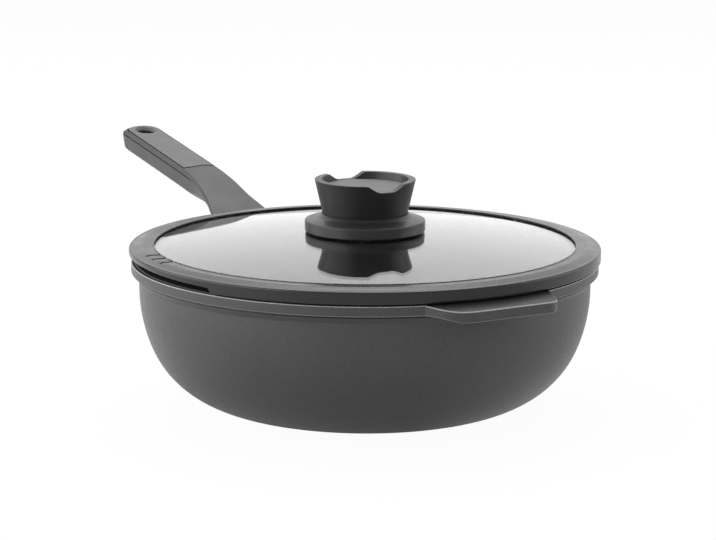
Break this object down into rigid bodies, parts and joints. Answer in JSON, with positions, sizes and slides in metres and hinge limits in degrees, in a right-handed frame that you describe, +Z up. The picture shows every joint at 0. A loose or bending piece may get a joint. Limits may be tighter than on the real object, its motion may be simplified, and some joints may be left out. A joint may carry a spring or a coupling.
{
  "type": "covered wok",
  "caption": "Deep round-sided pan with a rim band, a long angled handle and a helper tab, covered by a domed glass lid in a soft rim with a dished knob.",
  "frame": {"origin": "centre of the base, on the hob", "axes": "+Z up, +X along the handle, away from the pan"},
  "size_m": [0.4777, 0.2926, 0.1403],
  "materials": {
    "coated_pan": "dark grainy coating on cast aluminium",
    "base_steel": "brushed",
    "handle_moulding": "matt",
    "soft_pad": "matt soft touch",
    "fixing_steel": "plain",
    "lid_glass": "polished",
    "silicone": "satin silicone",
    "knob_moulding": "matt",
    "thread_brass": "turned",
    "gasket_rubber": "matt"
  },
  "bodies": {
    "pan": {"wok_body": "coated_pan", "induction_plate": "base_steel", "handle_body": "handle_moulding", "handle_top_insert": "soft_pad", "handle_screw": "fixing_steel", "handle_washer": "fixing_steel"},
    "lid_pane": {"lid_glass": "lid_glass"},
    "lid_frame": {"lid_rim": "silicone", "knob_flange": "knob_moulding", "knob_grip": "knob_moulding", "knob_top_insert": "soft_pad", "knob_thread_insert": "thread_brass", "knob_gasket_upper": "gasket_rubber", "knob_gasket_lower": "gasket_rubber", "knob_washer": "fixing_steel", "knob_screw": "fixing_steel"}
  },
  "joints": [
    {"name": "lid_lift", "type": "slide", "parent": "pan", "child": "lid_pane", "axis": [0, 0, 1], "range_m": [0, 0.2]},
    {"name": "lid_turn", "type": "hinge", "parent": "lid_pane", "child": "lid_frame", "pos_m": [0, 0, 0.1], "axis": [0, 0, 1], "continuous": true}
  ]
}
